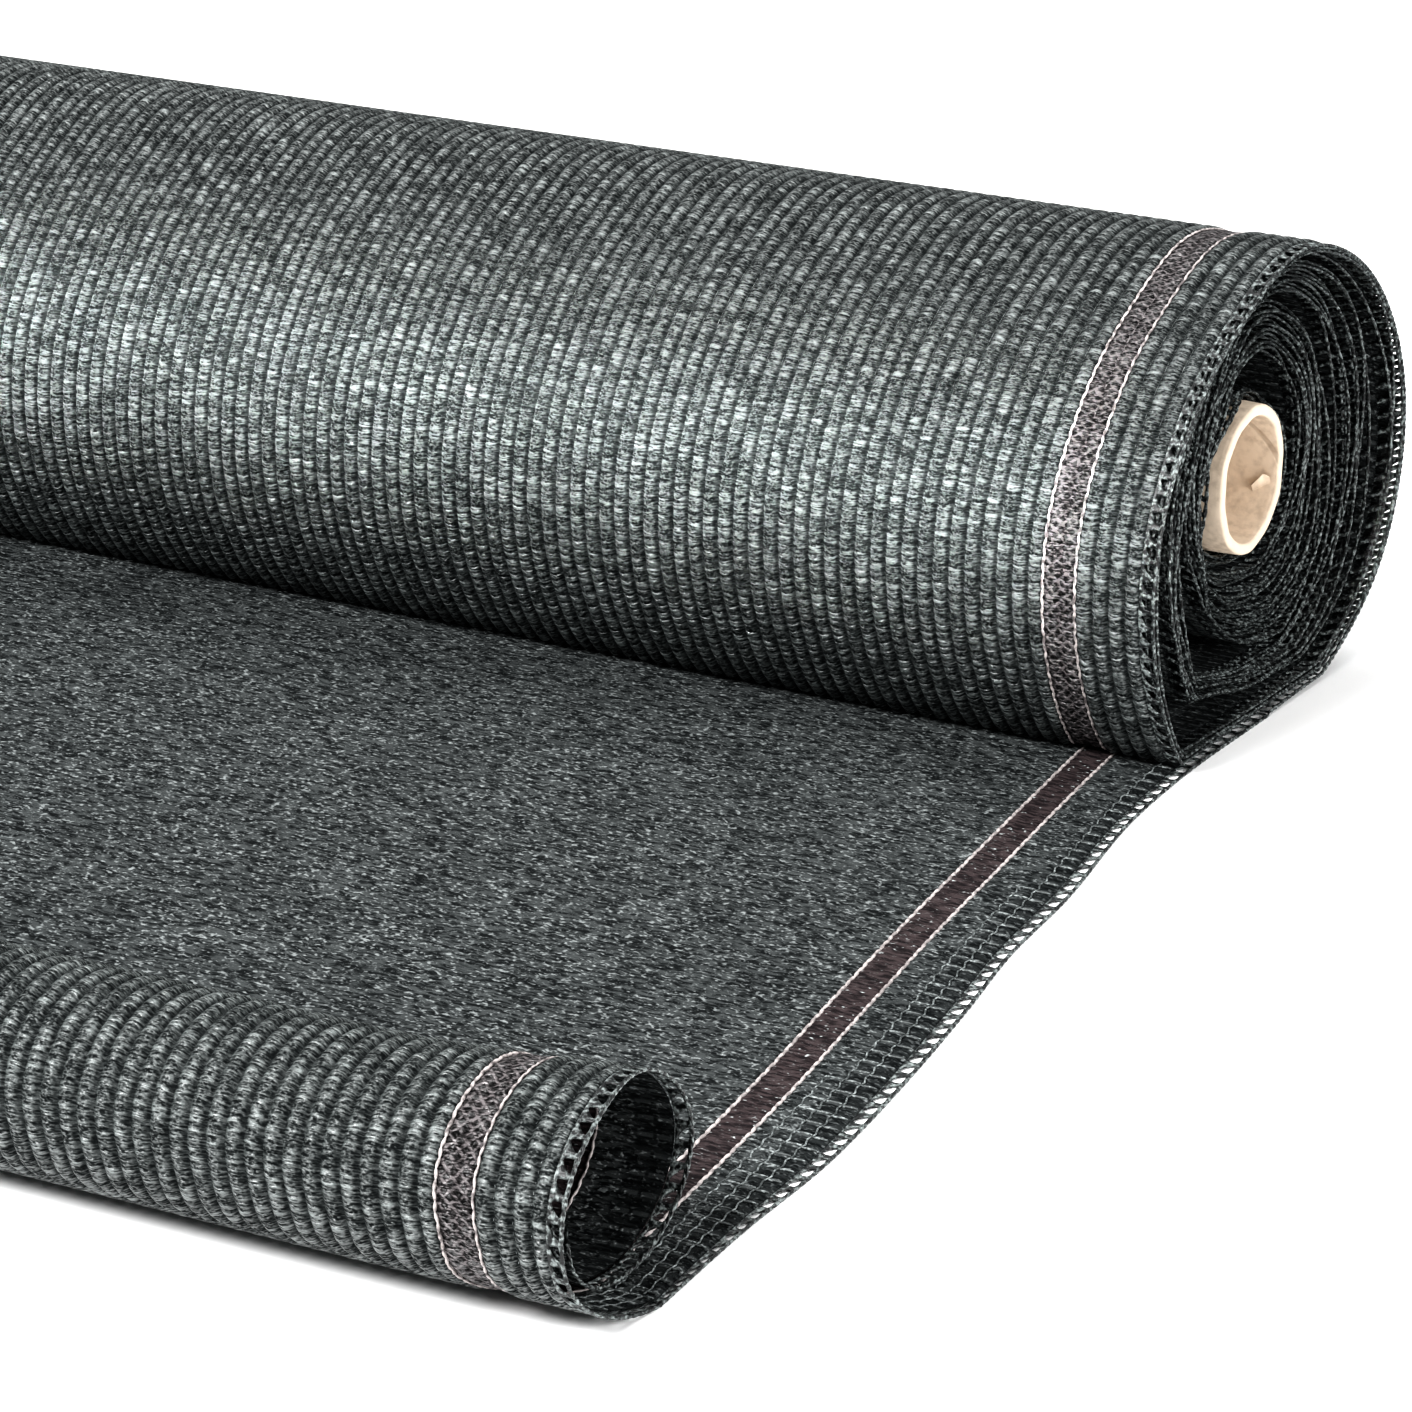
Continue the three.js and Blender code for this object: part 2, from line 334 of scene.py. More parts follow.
def smooth_back():
    """The laid yarn's close face: dark, with short light dashes and specks that are partly painted glints.
    Near the selvedge it opens into a ladder, and next to the roll small pits between the wales are painted
    dark, for slack netting and as painted shade from the roll."""
    knit = Pattern("smooth_back")
    wale, course = knit.attribute("across"), knit.attribute("along")
    laid = knit.noise(knit.times(wale, 1.3), knit.times(course, 3.0), 5.5, 2.0)
    dash = knit.noise(knit.times(wale, 3.0), knit.times(course, 2.7), 9.3)
    grain = knit.noise(knit.times(wale, 5.5), knit.times(course, 5.2), 3.3)
    cloud = knit.noise(knit.times(wale, 0.16), knit.times(course, 0.12), 8.1, 2.0)
    # Light dashes and specks, partly painted glints.
    dashes = knit.ramp(dash, 0.55, 0.74)
    specks = knit.ramp(grain, 0.60, 0.78)
    lit = knit.scaled(dashes, 0.32, knit.ramp(laid, 0.38, 0.62, 0.01, 0.105))
    lit = knit.scaled(specks, 0.16, lit)
    lit = knit.times(lit, knit.ramp(cloud, 0.3, 0.7, 0.88, 1.12))

    # The ladder beside the selvedge, a wale wider near the curl, with a bar every two courses.
    ladder_width = knit.ramp(course, *LADDER_COURSES, *LADDER_WALES)
    edge = knit.ramp(knit.sum("SUBTRACT", wale, ladder_width), -0.7, 0.1, 1.0, 0.0)
    bar = knit.ramp(knit.off_middle(knit.times(course, 0.5)), 0.08, 0.17, 1.0, 0.0)
    bar = knit.times(bar, knit.ramp(knit.off_middle(wale), 0.36, 0.46, 1.0, 0.1))
    ladder = knit.times(bar, edge, knit.scaled(dashes, 0.25, 0.08))
    lit = knit.sum("ADD", knit.times(lit, knit.scaled(edge, -0.62, 1.0)), ladder)

    # The pits between the wales of the slack stretch next to the roll, painted darker for the slack and as
    # painted shade from the roll.
    slack_and_roll_shade = knit.ramp(course, *SHADED_SLACK_COURSES, 1.0, 0.0)
    pits = knit.ramp(knit.off_middle(wale), 0.22, 0.42)
    pits = knit.times(pits, knit.ramp(laid, 0.46, 0.56, 1.0, 0.0))
    lit = knit.times(lit, knit.sum("SUBTRACT", 1.0, knit.times(pits, slack_and_roll_shade, 0.9)))

    in_band = knit.between(wale, THREAD_WALES[0], THREAD_WALES[1], 0.06)
    band_face = knit.blend(knit.ramp(laid, 0.35, 0.65), BAND_BACK_DARK, BAND_BACK)
    band_face = knit.blend(knit.ramp(dash, 0.68, 0.8), band_face, BACK_LIGHT_AND_GLINT)
    face = knit.blend(in_band, knit.blend(lit, BACK_DARK, BACK_LIGHT_AND_GLINT), band_face)
    gloss = knit.ramp(lit, 0.05, 0.5, DULL_GLOSS, TAPE_GLOSS)
    knit.feed(knit.shader.inputs["Base Color"], face)
    knit.feed(knit.shader.inputs["Roughness"], knit.ramp(dashes, 0.0, 1.0, 0.7, 0.5))
    knit.feed(knit.shader.inputs["Specular IOR Level"], gloss)
    height = knit.scaled(dashes, 0.7, laid)
    height = knit.scaled(specks, 0.3, height)
    knit.relief(height, SMOOTH_BUMP)
    return knit.material


RIBBED_FACE = ribbed_face()
SMOOTH_BACK = smooth_back()


def grid_piece(name, grids, materials, sheet=None):
    """One mesh from grids of points. A grid is (points, across, along, material number): across and along
    are the pattern's own measures, such as wales and courses, and go with the mesh as attributes. The
    piece goes with the sheet that it is part of, or else rides on its own."""
    total = sum(points.shape[0] * points.shape[1] for points, *_ in grids)
    base, low, quads, numbers, maps = 0, 0.0, [], [], []
    measures = {"across": [], "along": []}
    for points, across, along, number in grids:
        rows, columns = points.shape[:2]
        index = base + np.arange(rows * columns).reshape(rows, columns)
        quad = np.stack([index[:-1, :-1], index[:-1, 1:], index[1:, 1:], index[1:, :-1]], -1)
        quads.append(quad.reshape(-1, 4))
        numbers.append(np.full(len(quads[-1]), number))
        measures["across"].append(np.broadcast_to(across, (rows, columns)).ravel())
        measures["along"].append(np.broadcast_to(along, (rows, columns)).ravel())
        share = rows * columns / total
        u, v = np.meshgrid(np.linspace(0, 1, columns), low + share * np.linspace(0, 1, rows))
        maps.append(np.stack([u, v], -1).reshape(-1, 2))
        base += rows * columns
        low += share
    places = np.concatenate([points.reshape(-1, 3) for points, *_ in grids])
    quads = np.concatenate(quads)
    mesh = bpy.data.meshes.new(name)
    mesh.vertices.add(len(places))
    mesh.vertices.foreach_set("co", places.astype(np.float32).ravel())
    mesh.loops.add(quads.size)
    mesh.loops.foreach_set("vertex_index", quads.astype(np.int32).ravel())
    mesh.polygons.add(len(quads))
    mesh.polygons.foreach_set("loop_start", np.arange(0, quads.size, 4, dtype=np.int32))
    mesh.polygons.foreach_set("material_index", np.concatenate(numbers).astype(np.int32))
    mesh.polygons.foreach_set("use_smooth", np.ones(len(quads), bool))
    for measure, values in measures.items():
        made = mesh.attributes.new(measure, "FLOAT", "POINT")
        made.data.foreach_set("value", np.concatenate(values).astype(np.float32))
    layer = mesh.uv_layers.new(name="OFBake")
    layer.data.foreach_set("uv", np.concatenate(maps)[quads.ravel()].astype(np.float32).ravel())
    mesh.update()
    for material in materials:
        mesh.materials.append(material)
    piece = bpy.data.objects.new(name, mesh)
    bpy.context.scene.collection.objects.link(piece)
    if sheet is None:
        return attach(piece, "root")
    piece.parent = sheet
    return piece


# The core. One spiral-wound cardboard tube, cut square; its ends are a little soft and out of round,
# and the wound plies meet in a fine slanting seam. It sits in the roll's middle, held by the netting.
CORE_OUTSIDE = (core_high.z - core_low.z) / 2
CORE_WALL = 3 * MM
CORE_INSIDE = CORE_OUTSIDE - CORE_WALL
CORE_LENGTH = core_high.x - core_low.x
CORE_LIP = 0.8 * MM
CORE_STEPS = 120
MOUTH_RUN = 12 * MM
RAGGED_RUN = 0.8 * MM
CUT_RUN = 1.2 * MM
PLY_WIDTH = 70 * MM
BOARD_ROUGHNESS = 0.82
BOARD_BUMP = 0.12 * MM
CORE_PALE = (0.86, 0.73, 0.59, 1)
CORE_BROWN = (0.22, 0.145, 0.09, 1)
CORE_CUT = (0.52, 0.44, 0.35, 1)


def cardboard():
    """Brown board with fine fibres and pale stains, the seam of its plies, and a paler cut end."""
    board = Pattern("core_cardboard")
    grain, stain = board.speckle(420.0, 3.0), board.speckle(45.0, 3.0)
    turned, run = board.attribute("across"), board.attribute("along")
    seam = board.off_middle(board.scaled(run, 1 / PLY_WIDTH, turned))
    seam = board.ramp(seam, 0.008, 0.02, 1.0, 0.0)
    tone = board.ramp(board.scaled(stain, 0.8, grain), 0.55, 1.05)
    face = board.blend(board.scaled(tone, 0.3, 0.56), CORE_BROWN, CORE_PALE)
    face = board.blend(board.times(seam, 0.35), face, CORE_BROWN)
    face = board.blend(board.ramp(run, 0.0, CUT_RUN, 0.85, 0.0), face, CORE_CUT)
    board.feed(board.shader.inputs["Base Color"], face)
    board.feed(board.shader.inputs["Roughness"], BOARD_ROUGHNESS)
    board.relief(board.sum("SUBTRACT", grain, board.times(seam, 0.8)), BOARD_BUMP)
    return board.material


def core_points(turn, radius, run):
    """Points of the tube by its turn in radians, its radius, and the run from its right-hand end. Each
    mouth is a little out of round, and the right-hand cut is ragged."""
    turn, radius, run = np.broadcast_arrays(turn, radius, run)
    from_end = np.minimum(run, CORE_LENGTH - run)
    uneven = 0.20 * np.sin(2 * turn + 0.7) + 0.10 * np.sin(3 * turn) + 0.04 * np.sin(7 * turn + 1) - 0.34
    ragged = 0.14 * np.sin(5 * turn + 2) + 0.10 * np.sin(11 * turn) - 0.24
    radius = radius + uneven * np.exp(-from_end / MOUTH_RUN) * MM
    x = core_high.x - run + ragged * np.exp(-run / RAGGED_RUN) * MM
    return np.stack([x, AXIS_Y - np.cos(turn) * radius, AXIS_Z + np.sin(turn) * radius], -1)


CORE_RUNS = (2, 5, 15, 40)
ease = np.radians([0, 30, 60, 90])
runs = np.array(CORE_RUNS) * MM
near_half = [(CORE_INSIDE, run) for run in runs[::-1]]
near_half += [(CORE_INSIDE + CORE_LIP * (1 - math.cos(a)), CORE_LIP * (1 - math.sin(a))) for a in ease]
near_half += [(CORE_OUTSIDE - CORE_LIP * (1 - math.sin(a)), CORE_LIP * (1 - math.cos(a))) for a in ease]
near_half += [(CORE_OUTSIDE, run) for run in runs]
far_half = [(radius, CORE_LENGTH - run) for radius, run in near_half[::-1]]
profile = np.array(near_half + far_half + near_half[:1])
turn = np.linspace(0, math.tau, CORE_STEPS + 1)
CARDBOARD = cardboard()
core_board = grid_piece("core_board", [
    (core_points(turn, profile[:, :1], profile[:, 1:]), turn / math.tau, profile[:, 1:], 0),
], [CARDBOARD])
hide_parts("core_tube")

# A torn scrap of the core's innermost ply, of the same cardboard. It is peeled up and curled off the
# inner wall near the cut end. Its two ends are a run in millimetres and a turn in degrees.
SCRAP_ENDS = ((2.2, 199), (6.6, 209))
SCRAP_TURN = 11
SCRAP_LIFT = 1.9 * MM
SCRAP_THICK = 0.4 * MM
SCRAP_RAGGED = 0.5
SCRAP_ROWS, SCRAP_STEPS = 9, 7
share = np.linspace(0, 1, SCRAP_ROWS)[:, None]
out_and_back = np.concatenate([np.linspace(0, 1, SCRAP_STEPS), np.linspace(1, 0, SCRAP_STEPS), [0]])
side = np.concatenate([np.ones(SCRAP_STEPS), -np.ones(SCRAP_STEPS), [1]])
(first_run, first_turn), (last_run, last_turn) = SCRAP_ENDS
full = np.sin(np.pi * (0.08 + 0.84 * share)) ** 0.6
lift = SCRAP_LIFT * full * out_and_back ** 1.6 + side * full * SCRAP_THICK / 2
lean = first_turn + (last_turn - first_turn) * share - SCRAP_TURN * full * out_and_back
run = first_run + (last_run - first_run) * share + SCRAP_RAGGED * np.sin(7 * share) * out_and_back
grid_piece("torn_scrap", [
    (core_points(np.radians(lean), CORE_INSIDE - lift, run * MM), 0.3, 5 * MM, 0),
], [CARDBOARD], core_board)

# The wound netting: one length in 31 and a half loose wraps. The outermost wrap sags on the others,
# flat on top towards the front, and bellied low at the front and at the back.
REST = AXIS_Z - SHEET - GAP
REACHES = [69, 59.5, 56.5, 61.5, 63.9, 69.8, 74.6, 76, 69.5, 68, 80.5, 76.5]
EDGE_LEAN = [-1.6, -0.8, 2.6, 3, 5, 3, 0.5, -0.6]

# By the turns wound so far, and evenly spaced round the roll: how much of the way from the core to the
# outermost wrap the netting lies out, and how many millimetres its edge is set back.
WRAP_SHARES = {
    0.0: [1, 1, 1, 1, 1, 1, 1, 1],
    3.5: [0.93, 0.94, 0.92, 0.93, 0.93, 0.93, 0.91, 0.9],
    3.75: [0.77, 0.92, 0.88, 0.89, 0.9, 0.91, 0.87, 0.69],
    12.5: [0.56, 0.63, 0.68, 0.68, 0.7, 0.8, 0.75, 0.57],
    12.75: [0.4, 0.61, 0.64, 0.59, 0.6, 0.76, 0.6, 0.26],
    24.5: [0.14, 0.2, 0.25, 0.34, 0.42, 0.3, 0.12, 0.1],
    24.75: [0.12, 0.15, 0.06, 0.09, 0.27, 0.26, 0.1, 0.08],
    31.6: [0, 0, 0, 0, 0, 0, 0, 0],
}
WRAP_SET_BACKS = {
    0.0: 0,
    3.5: 2,
    3.75: 3.5,
    12.5: [6, 6, 7, 8, 8, 8, 8, 7],
    12.75: [7, 7, 8, 9, 9, 9, 9, 8],
    24.5: [9.6, 9, 10.5, 13, 13, 13, 13, 12],
    24.75: [10.6, 9.6, 11.5, 14, 14, 14, 14, 13.5],
    31.6: [11.6, 10.2, 12.7, 15.5, 15.5, 15.5, 15.5, 15],
}

WRAP_WOBBLE = (1.3, 0.8)
WRAPS = 31.5
CORE_RADIUS = CORE_OUTSIDE + GAP
WRAP_EDGE = 432 * MM
LEAVING_TURN = 60
ROLL_ROWS = 90


def around(values, angle):
    """A smooth closed curve through values spread evenly round the roll."""
    values = np.asarray(values, float)
    place = (np.asarray(angle) / 360 * len(values)) % len(values)
    first = np.floor(place).astype(int)
    part = place - first
    before, start, end, after = (values[(first + step) % len(values)] for step in (-1, 0, 1, 2))
    bend = 2 * before - 5 * start + 4 * end - after
    twist = 3 * (start - end) + after - before
    return start + 0.5 * part * (end - before + part * (bend + part * twist))


def between_wraps(table, turns, angle):
    """A value of the wrap that lies so many turns in, blended between the rows of a table."""
    knots = np.array(sorted(table))
    rows = [around(row, angle) if isinstance(row, list) else row + 0 * angle for row in table.values()]
    last = np.clip(np.searchsorted(knots, turns, "right"), 1, len(knots) - 1)
    part = np.clip((turns - knots[last - 1]) / (knots[last] - knots[last - 1]), 0, 1)
    rows, column = np.array(rows), np.arange(len(turns))
    return rows[last - 1, column] * (1 - part) + rows[last, column] * part


def wrap_radius(wound):
    """How far the netting's middle lies from the core's axis after so many degrees of winding."""
    angle = 270 - wound
    reach = around(REACHES, angle) * MM
    down = -np.sin(np.radians(angle))
    reach = np.where(down > 0.5, np.minimum(reach, REST / np.maximum(down, 0.5)), reach)
    share = between_wraps(WRAP_SHARES, wound / 360, angle)
    leaving = np.clip(1 - wound / LEAVING_TURN, 0, 1) ** 2
    pressed = leaving * (SHEET / 2 + GAP) - (1 - leaving) * share * SHEET / 2
    return CORE_RADIUS + (reach - CORE_RADIUS) * share + pressed


def wrap_edge(wound):
    """How far the netting's edge lies past the roll's end after so many degrees of winding."""
    angle = 270 - wound
    slow, quick = WRAP_WOBBLE
    wobble = slow * np.sin(np.radians(1.71 * wound)) + quick * np.sin(np.radians(3.37 * wound) + 2)
    lean = around(EDGE_LEAN, angle) * np.clip(4 - wound / 360, 0, 1)
    set_back = between_wraps(WRAP_SET_BACKS, wound / 360, angle)
    return (lean - set_back + wobble * np.clip(wound / 360 - 0.9, 0, 1)) * MM


def wound_points(wound, across, lift):
    """Points of the wound netting, by degrees of winding from under the roll, distance from the
    right-hand selvedge, and lift off its middle towards the ribbed face. Also which way that face looks."""
    wound, across, lift = np.broadcast_arrays(wound, across, lift)
    turn = np.radians(270 - wound)
    radius = wrap_radius(wound.ravel()).reshape(wound.shape) + lift
    edge = wrap_edge(wound.ravel()).reshape(wound.shape)
    x = ROLL_END + edge - across * (1 + 2 * edge / CLOTH_WIDTH)
    out = np.stack([0 * turn, -np.cos(turn), np.sin(turn)], -1)
    return np.stack([x, AXIS_Y + out[..., 1] * radius, AXIS_Z + out[..., 2] * radius], -1), out


RIB = 1.12 * MM
RIB_COLUMNS = np.array([0.0, 0.25, 0.5, 0.75])
RIB_HEIGHTS = np.array([0.0, 0.74, 1.0, 0.74])
BAND_RIB = 0.35


def rib_lines(first, last):
    """The columns of points that shape the ribs: their wales from the selvedge, and their heights."""
    wales = (np.arange(first, last)[:, None] + RIB_COLUMNS).ravel()
    heights = np.tile(RIB_HEIGHTS, last - first)
    in_band = (wales >= THREAD_WALES[0]) & (wales < THREAD_WALES[1])
    return np.append(wales, last), np.append(np.where(in_band, BAND_RIB * heights, heights), 0.0)


wound = np.linspace(0, 360, ROLL_ROWS)[:, None]
courses = wound / 360 * WRAP_EDGE / COURSE
wales, heights = rib_lines(1, WALES - 1)
ribbed, _ = wound_points(wound, wales * WALE, SHEET / 2 - RIB * (1 - heights))
PLAIN_WALES = np.array([1, 2, 3, 5, 8, 20, 60, 113, 166, 206, 218, 221, 223, 224, 225.0])
plain, _ = wound_points(wound, PLAIN_WALES * WALE, -SHEET / 2)
outer_wrap = grid_piece("outer_wrap", [
    (ribbed, wales, courses, 0),
    (plain[:, ::-1], PLAIN_WALES[::-1], courses, 1),
], [RIBBED_FACE, SMOOTH_BACK])
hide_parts("wound_roll")

# The wraps inside it: the rest of the same length, seen only at the roll's two ends, where groups of
# wraps stand apart and dark crescents open between them. Each wrap lies a little further in.
INNER_STEP = 7.5
INNER_SHARE = 0.6
THINNEST, THICKEST = 0.3 * MM, 1.1 * MM
INNER_WALES = np.array([1, 1.5, 2, 2.5, 3, 3.5, 4, 6, 10, 30, 113])
INNER_WALES = np.append(INNER_WALES, WALES - INNER_WALES[-2::-1])
wound = np.arange(360, WRAPS * 360, INNER_STEP)
pitch = np.clip(wrap_radius(wound) - wrap_radius(wound + 360), THINNEST, THICKEST)
half = pitch[:, None] * INNER_SHARE / 2
wound = wound[:, None]
ribbed, _ = wound_points(wound, INNER_WALES * WALE, half)
plain, _ = wound_points(wound, INNER_WALES[::-1] * WALE, -half)
steps = np.linalg.norm(np.diff(ribbed[:, 0], axis=0), axis=1)
courses = np.append(0, np.cumsum(steps))[:, None] / COURSE
inner_wraps = grid_piece("inner_wraps", [
    (ribbed, INNER_WALES, courses, 0),
    (plain, INNER_WALES[::-1], courses, 1),
], [RIBBED_FACE, SMOOTH_BACK])
float(steps.sum())

# The drawn-out length: it comes from under the roll and lies flat with its smooth back up. It was
# pulled a little askew, so that its wales run out towards the right and its edge wanders. The drifts
# say how far, by the distance from the roll's axis or by the degrees that the curl has turned.
FLAT_LENGTH = 363 * MM
CURL_Y, CURL_HEIGHT, CURL_REACH = -FLAT_LENGTH, 21.6 * MM, 27.5 * MM
CURL_SWING, CURL_FLARE, FLARE_RUN = 0.03, 0.07, 60 * MM
EDGE_DRIFTS = {0: 0.5, -52: -0.8, -80: 0.4, -140: 9, -172: 11.7, -205: 17.2, -250: 23.5, -290: 27.3,
               -325: 27.3, -363: 29}
WALE_DRIFTS = {0: -0.5, -52: 1.1, -82: 4.4, -117: 8.1, -151: 11.8, -186: 16.1, -220: 20.5, -254: 25.4,
               -289: 29.8, -363: 39}
CURL_EDGE_DRIFTS = {0: 29, 52: 25.5, 106: 24.2, 157: 22.6, 205: 19, 270: 20, 450: 19}
CURL_WALE_DRIFTS = {0: 39, 30: 31, 52: 28.4, 84: 28.1, 110: 25.9, 134: 24.5, 162: 23.1, 210: 21, 270: 21,
                    450: 19}
CURL_HALF_WIDTHS = {0: 26.9, 180: 26.9, 270: 26.5, 360: 21.5, 450: 16}
CURL_HALF_HEIGHTS = {0: 21, 180: 21, 270: 20.4, 360: 18.2, 450: 17}
CURL_END = 438
WANDER = 14 * MM


def along(table, place):
    """A smooth curve through the rows of a table, in millimetres."""
    knots = np.array(sorted(table), float)
    values = np.array([table[knot] for knot in knots], float)
    slopes = np.gradient(values, knots)
    last = np.clip(np.searchsorted(knots, place, "right"), 1, len(knots) - 1)
    span = knots[last] - knots[last - 1]
    part = np.clip((place - knots[last - 1]) / span, 0, 1)
    rise = values[last] - values[last - 1]
    bend = part * part * (3 - 2 * part)
    start = part * (1 - part) ** 2 * span * slopes[last - 1]
    end = part * part * (part - 1) * span * slopes[last]
    return (values[last - 1] + rise * bend + start + end) * MM


def loose_middle(place, x):
    """The loose length's middle line as y and z. Its place runs from -1 at the roll to 0 where the curl
    begins, and then counts the degrees that the curl has turned."""
    axis = CURL_Y + CURL_SWING * x
    inward = np.clip(np.minimum(-x, x + CLOTH_WIDTH) / FLARE_RUN, 0, 1)
    flare = 1 + CURL_FLARE * (1 - inward * inward * (3 - 2 * inward))
    turned = np.maximum(place, 0)
    turn = np.radians(turned)
    forward = CURL_REACH - along(CURL_HALF_WIDTHS, turned) * np.sin(turn)
    up = CURL_HEIGHT - along(CURL_HALF_HEIGHTS, turned) * np.cos(turn)
    flat = 1 - np.clip(-place, 0, 1)
    return (axis - CURL_REACH + flare * forward) * flat, flare * (up - SHEET / 2) + SHEET / 2


def loose_points(place, across, lift):
    """Points of the loose length, as wound_points gives them for the roll."""
    place, across, lift = np.broadcast_arrays(np.asarray(place, float), across, lift)
    y, z = loose_middle(place, -across)
    before = loose_middle(np.where(place > 0, np.maximum(place - 1, 0), place - 0.001), -across)
    after = loose_middle(np.where(place > 0, place + 1, np.minimum(place + 0.001, 0)), -across)
    run, rise = after[0] - before[0], after[1] - before[1]
    length = np.hypot(run, rise)
    out = np.stack([0 * y, -rise / length, run / length], -1)
    flat_y = y / MM
    edge = np.where(place < 0, along(EDGE_DRIFTS, flat_y), along(CURL_EDGE_DRIFTS, place))
    inner = np.where(place < 0, along(WALE_DRIFTS, flat_y), along(CURL_WALE_DRIFTS, place))
    wander = np.exp(-np.minimum(across, CLOTH_WIDTH - across) / WANDER)
    x = ROLL_END - across + inner + (edge - inner) * wander
    points = np.stack([x, AXIS_Y + y, z], -1)
    return points + out * lift[..., None], out


FLAT_ROWS = 62
BACK_RELIEF = 0.2 * MM
EDGE_THINNING, THINNED_WALES = 0.65 * MM, 0.6
UNDER_LIFT = 0.5 * MM
place = np.linspace(-1, 0, FLAT_ROWS)[:, None]
courses = place * FLAT_LENGTH / DRAWN_COURSE
back_wales = np.arange(1, WALES - 0.75, 0.5)
back_heights = np.where(back_wales % 1 > 0, BACK_RELIEF, 0)
thinned = EDGE_THINNING * np.exp(-(np.minimum(back_wales, WALES - back_wales) - 1) / THINNED_WALES)
smooth, _ = loose_points(place, back_wales * WALE, -SHEET / 2 - back_heights + thinned)
under, _ = loose_points(place, PLAIN_WALES[::-1] * WALE, UNDER_LIFT)
drawn_length = grid_piece("drawn_length", [
    (smooth, back_wales, courses, 1),
    (under, PLAIN_WALES[::-1], courses, 0),
], [RIBBED_FACE, SMOOTH_BACK])
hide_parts("loose_end")

# The curled end: the last of the netting has kept its roll shape, so it curls up and back over itself
# and shows the ribbed face outside and the smooth back inside.
CURL_STEP = 8
CURL_LENGTH = 182 * MM
turned = np.append(np.arange(0, CURL_END, CURL_STEP), CURL_END).astype(float)[:, None]
courses = turned / CURL_END * CURL_LENGTH / COURSE
wales, heights = rib_lines(1, WALES - 1)
ribbed, _ = loose_points(turned, wales[::-1] * WALE, SHEET / 2 - RIB * (1 - heights[::-1]))
smooth, _ = loose_points(turned, back_wales * WALE, -SHEET / 2)
cut, _ = loose_points(CURL_END, PLAIN_WALES * WALE, np.array([[-0.5], [0.5]]) * SHEET)
curled_end = grid_piece("curled_end", [
    (ribbed, wales[::-1], courses, 0),
    (smooth, back_wales, courses, 1),
    (cut, PLAIN_WALES, courses[-1], 1),
], [RIBBED_FACE, SMOOTH_BACK])
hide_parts("loose_end")

# The selvedges: the outermost chain of stitches is a twisted cord that stands off the cloth, and the
# yarns that hold it leave a row of small three-cornered holes along the edge, one every two courses.
CORD_ACROSS = 0.75 * MM
CORD_TWIST = 0.22 * MM
CORD_HALF = 0.34 * MM
FRAME_LIFT = 0.2 * MM
WOUND_EDGE_LIFT, LOOSE_EDGE_LIFT = -0.3 * MM, 0.25 * MM
CORD_STEPS, CORD_SIDES = 4, 5
YARN_ROUGHNESS = 0.42
YARN_GLOSS = 0.45
YARN_BUMP = 0.15 * MM
EDGE_COLOURS = ((0.008, 0.009, 0.0095, 1), (0.26, 0.29, 0.285, 1))
EDGE_GRAIN = 950
LONG_RUN = 1000
RUN_POINTS, LONG_RUN_POINTS = 4000, 30000

# One hole and the frame knitted round it: shares of two courses, and millimetres in from the edge.
HOLE = [(0.08, 1.45), (0.36, 1.3), (0.64, 1.4), (0.73, 1.65), (0.74, 2.7), (0.71, 3.75), (0.62, 3.95),
        (0.38, 3.3), (0.17, 2.4), (0.06, 1.7)]
FRAME = [(0, 0.6), (0.4, 0.6), (0.75, 0.6), (1, 0.6), (1, 2.6), (1, 4.7), (0.6, 4.7), (0.25, 4.7), (0, 4.7),
         (0, 2.6)]


def edge_yarn(name, dark, light):
    yarn = Pattern(name)
    lit = yarn.ramp(yarn.speckle(EDGE_GRAIN), 0.42, 0.74)
    yarn.feed(yarn.shader.inputs["Base Color"], yarn.blend(lit, dark, light))
    yarn.feed(yarn.shader.inputs["Roughness"], YARN_ROUGHNESS)
    yarn.feed(yarn.shader.inputs["Specular IOR Level"], YARN_GLOSS)
    yarn.relief(lit, YARN_BUMP)
    return yarn.material


def yarn_grids(middles, outs, across_half, lift_half, sides):
    """Grids that wrap round yarns: middles and outs are [yarns, points, 3], halves [yarns, points]."""
    run = np.gradient(middles, axis=1)
    side = np.cross(outs, run)
    side = side / np.linalg.norm(side, axis=-1, keepdims=True)
    turn = np.linspace(0, math.tau, sides + 1)[:, None]
    ring = (np.cos(turn) * across_half[:, :, None, None] * side[:, :, None]
            + np.sin(turn) * lift_half[:, :, None, None] * outs[:, :, None])
    return [(grid, 0.0, 0.0, 0) for grid in middles[:, :, None] + ring]


def paced(points, first, last, pace, across):
    """Places along one part of the netting whose points lie a pace apart at this distance across."""
    fine = np.linspace(first, last, LONG_RUN_POINTS if last - first > LONG_RUN else RUN_POINTS)
    line, _ = points(fine, across, 0.0)
    length = np.append(0, np.cumsum(np.linalg.norm(np.diff(line, axis=0), axis=1)))
    return np.interp(np.arange(0, length[-1], pace), length, fine)


def from_edge(side, across):
    """The distance from the right-hand selvedge, of a place so far in from either one."""
    return across if side > 0 else CLOTH_WIDTH - across


def edge_cord(points, first, last, course, side, lift):
    """The two strands of the edge cord, which cross once a course."""
    places = paced(points, first, last, course / CORD_STEPS, from_edge(side, CORD_ACROSS))
    grids = []
    for start in (0, math.pi):
        twist = np.arange(len(places)) * math.pi / CORD_STEPS + start
        across = CORD_ACROSS + CORD_TWIST * np.sin(twist)
        middles, outs = points(places, from_edge(side, across), lift + 0.7 * CORD_TWIST * np.cos(twist))
        half = np.full((1, len(places)), CORD_HALF)
        grids += yarn_grids(middles[None], outs[None], half, 0.9 * half, CORD_SIDES)
    return grids


